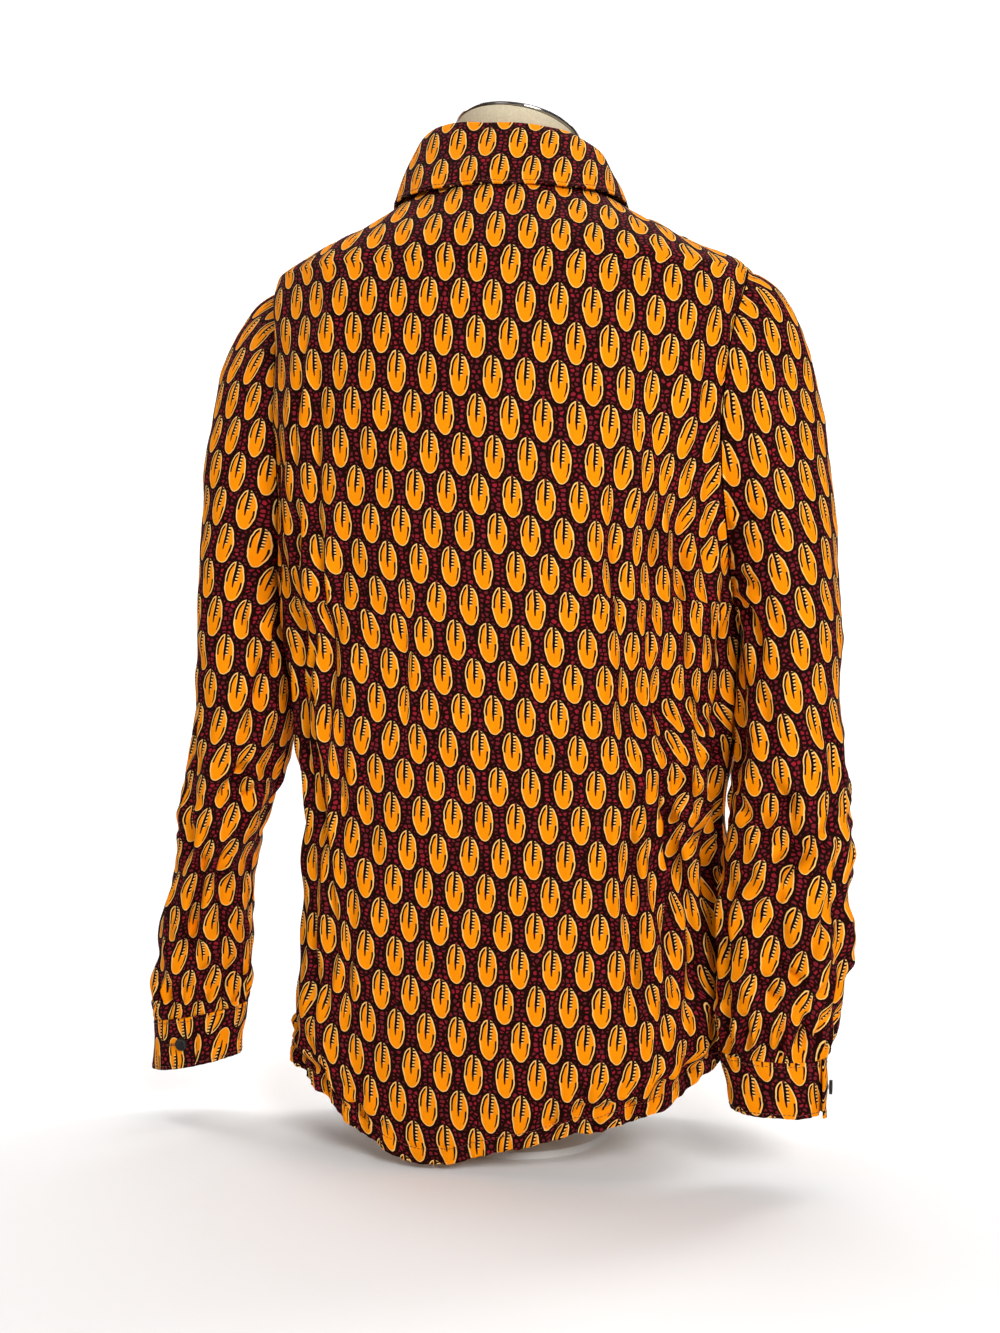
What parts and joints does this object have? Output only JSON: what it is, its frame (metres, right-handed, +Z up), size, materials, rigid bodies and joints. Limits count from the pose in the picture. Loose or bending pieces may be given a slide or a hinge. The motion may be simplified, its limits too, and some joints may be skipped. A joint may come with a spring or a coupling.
{
  "type": "long-sleeved shirt on a tabletop dress form",
  "caption": "Long-sleeved collared cotton shirt with an all-over shell print, buttoned on a limbless tabletop dress form with a short pole and round base.",
  "frame": {"origin": "on the table under the middle of the shirt's body, in the underside of the base plate", "axes": "+Z up; the wearer faces -Y, so the shirt's back is +Y; +X is the wearer's left"},
  "size_m": [0.6275, 0.2395, 0.9],
  "materials": {
    "printed_cotton": "matt printed cotton",
    "button": "glossy black",
    "form_linen": "cream woven linen",
    "cap_metal": "polished",
    "stand_paint": "satin off-white enamel"
  },
  "bodies": {
    "root": {"back": "printed_cotton", "front_left": "printed_cotton", "front_right": "printed_cotton", "front_placket": "printed_cotton", "sleeve_left": "printed_cotton", "sleeve_right": "printed_cotton", "cuff_left": "printed_cotton", "cuff_right": "printed_cotton", "collar_band": "printed_cotton", "collar_leaf": "printed_cotton", "button_front_1": "button", "button_front_2": "button", "button_front_3": "button", "button_front_4": "button", "button_front_5": "button", "button_front_6": "button", "button_cuff_left": "button", "button_cuff_right": "button", "form_torso": "form_linen", "form_neck_cap": "cap_metal", "form_pole": "stand_paint", "form_base": "stand_paint"}
  },
  "joints": []
}
